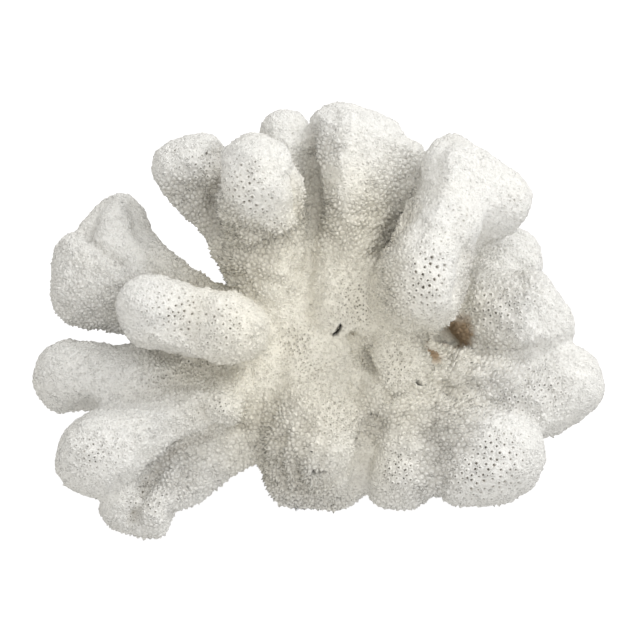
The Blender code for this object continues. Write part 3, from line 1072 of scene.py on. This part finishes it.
def coral_skeleton():
    """Aragonite, the limy skeleton of a reef coral, washed, bleached and dried.

    It is a chalky white with a fine sandy grain, cooler where it grew last and creamier in the
    bowl. Its pits, gaps and grooves are painted darker, with dust and painted shade.
    """
    material = bpy.data.materials.new("bleached_aragonite")
    material.use_nodes = True
    tree = material.node_tree
    surface = tree.nodes["Principled BSDF"]
    place = add_node(tree, "ShaderNodeTexCoord").outputs["Object"]
    read = {
        word: add_node(tree, "ShaderNodeAttribute", {"attribute_name": word}).outputs["Fac"]
        for word in COLOURED_BY
    }

    # Cloudy patches about 12 mm across, between the tip's white and the bowl's cream.
    clouds = add_node(
        tree, "ShaderNodeTexNoise", {"Scale": 1 / (12 * MM), "Detail": 3.0}, {"Vector": place}
    )
    older = add_node(
        tree,
        "ShaderNodeMath",
        {"operation": "MULTIPLY_ADD", 1: 0.5, 2: -0.25},
        {0: clouds.outputs["Fac"]},
    )
    older = add_node(
        tree,
        "ShaderNodeMath",
        {"operation": "ADD", "use_clamp": True},
        {0: older.outputs[0], 1: read["age"]},
    )
    bare = add_node(
        tree,
        "ShaderNodeMix",
        {"data_type": "RGBA", 6: linear("#E9E8E4"), 7: linear("#F0ECDF")},
        {0: older.outputs[0]},
    )

    # Blunt spinules between the cups, 0.8 mm apart, with dust and painted shade low between them.
    spinules = add_node(
        tree,
        "ShaderNodeTexNoise",
        {"Scale": 1 / (0.8 * MM), "Detail": 3.0, "Roughness": 0.65},
        {"Vector": place},
    )
    low = add_node(
        tree,
        "ShaderNodeMapRange",
        {"From Min": 0.54, "From Max": 0.36, "To Min": 0.0, "To Max": 0.14},
        {"Value": spinules.outputs["Fac"]},
    )

    # Dust and painted shade in the pits, in the gaps and grooves, and low between the spinules.
    dust_and_shade_share = add_node(
        tree,
        "ShaderNodeMath",
        {"operation": "MULTIPLY_ADD", "use_clamp": True, 1: 0.75},
        {0: read["pit"], 2: low.outputs["Result"]},
    )
    with_dust_and_shade = add_node(
        tree,
        "ShaderNodeMix",
        {"data_type": "RGBA", 7: linear("#8F8573")},
        {0: dust_and_shade_share.outputs[0], 6: bare.outputs[2]},
    )

    # Brown silt in the deep gap.
    stained = add_node(
        tree,
        "ShaderNodeMix",
        {"data_type": "RGBA", 7: linear("#9F8A70")},
        {0: read["stain"], 6: with_dust_and_shade.outputs[2]},
    )
    # Near-black painted shade in the cracks and the deep pores.
    painted_hole_shade = add_node(
        tree,
        "ShaderNodeMix",
        {"data_type": "RGBA", 7: linear("#2E2A24")},
        {0: read["hole"], 6: stained.outputs[2]},
    )
    tree.links.new(painted_hole_shade.outputs[2], surface.inputs["Base Color"])

    relief = add_node(
        tree,
        "ShaderNodeBump",
        {"Strength": 1.0, "Distance": 0.7 * MM},
        {"Height": spinules.outputs["Fac"]},
    )
    tree.links.new(relief.outputs["Normal"], surface.inputs["Normal"])
    surface.inputs["Roughness"].default_value = 0.85
    surface.inputs["IOR"].default_value = 1.53
    surface.inputs["Specular IOR Level"].default_value = 0.3
    return material


# The stage


# The white paper glows as much as this. The light from all round is brighter from one side, and
# two round lamps stand at (right, back, up) in metres, with a width and a power in watts.
PAPER_GLOW = 0.92
BRIGHT_SIDE = (0.75, 0.1, 0.65)
BRIGHT_SIDE_EDGES = (-0.6, 0.8)
DIM_LIGHT = (0.82, 0.805, 0.773, 1)
BRIGHT_LIGHT = (0.86, 0.86, 0.86, 1)
LAMPS = {
    "key": ((0.8, 0.35, 1.1), 0.6, 8),
    "fill": ((0.25, -0.85, 1.1), 1.0, 5.6),
}


def set_stage():
    bpy.ops.mesh.primitive_plane_add(size=6)
    floor = bpy.context.object
    floor.name = "floor"
    floor.visible_diffuse = False
    paper = bpy.data.materials.new("white_paper")
    paper.use_nodes = True
    surface = paper.node_tree.nodes["Principled BSDF"]
    surface.inputs["Base Color"].default_value = (0.2, 0.2, 0.2, 1)
    surface.inputs["Specular IOR Level"].default_value = 0
    surface.inputs["Emission Color"].default_value = (1, 1, 1, 1)
    surface.inputs["Emission Strength"].default_value = PAPER_GLOW
    floor.data.materials.append(paper)

    world = bpy.data.worlds.new("studio")
    bpy.context.scene.world = world
    world.use_nodes = True
    tree = world.node_tree
    background = tree.nodes["Background"]
    place = add_node(tree, "ShaderNodeTexCoord").outputs["Generated"]
    towards = add_node(
        tree, "ShaderNodeVectorMath", {"operation": "DOT_PRODUCT", 1: BRIGHT_SIDE}, {0: place}
    )
    share = add_node(
        tree,
        "ShaderNodeMapRange",
        {"From Min": BRIGHT_SIDE_EDGES[0], "From Max": BRIGHT_SIDE_EDGES[1]},
        {"Value": towards.outputs["Value"]},
    )
    light = add_node(
        tree,
        "ShaderNodeMix",
        {"data_type": "RGBA", 6: DIM_LIGHT, 7: BRIGHT_LIGHT},
        {0: share.outputs["Result"]},
    )
    tree.links.new(light.outputs[2], background.inputs["Color"])

    for name, (spot, width, power) in LAMPS.items():
        add_light(name, Vector(spot), width, power)


def add_light(name, place, size, power):
    bpy.ops.object.light_add(type="AREA", location=place)
    light = bpy.context.object
    light.name = name
    light.data.shape = "DISK"
    light.data.size = size
    light.data.energy = power
    light.rotation_mode = "QUATERNION"
    light.rotation_quaternion = (-place).to_track_quat("-Z", "Y")


def set_camera():
    """A long lens, at the photograph's angle."""
    middle = UP_THE_VIEW * (PICTURE_MIDDLE[1] - FOOT_UP_THE_VIEW) * MM
    bpy.ops.object.camera_add(location=middle + TO_CAMERA * CAMERA_FAR)
    camera = bpy.context.object
    camera.rotation_mode = "QUATERNION"
    camera.rotation_quaternion = (-TO_CAMERA).to_track_quat("-Z", "Y")
    camera.data.lens = camera.data.sensor_width * CAMERA_FAR / (PICTURE_WIDTH * MM)
    camera.data.clip_end = 20
    bpy.context.scene.camera = camera


def build():
    set_camera()
    set_stage()
    bpy.context.scene.view_settings.view_transform = "Standard"

    skin = grown_skin()
    cover = Cover(BVHTree.FromPolygons(*mesh_lists(skin.data)))
    roughen_slowly(skin, cover)
    skin_tree = BVHTree.FromPolygons(*mesh_lists(skin.data))
    net = evened_points(skin, skin_tree, cover)
    bpy.data.objects.remove(skin)
    cups = Cups(net, skin_tree, cover)
    net.free()
    age, stain, groove_dust_and_shade = painted(cups, skin_tree)
    relief = Relief(cups, age, stain, groove_dust_and_shade)
    crack(relief, skin_tree)
    normals = relief.smooth_normals()
    inner_faces = relief.inner_faces()
    names, owner = settle_owners(cups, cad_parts)
    material = coral_skeleton()
    for at, name in enumerate(names):
        piece = add_piece(name + "_skin", relief, owner == at, inner_faces, normals, material)
        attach(piece, "root")
        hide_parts(name)


build()
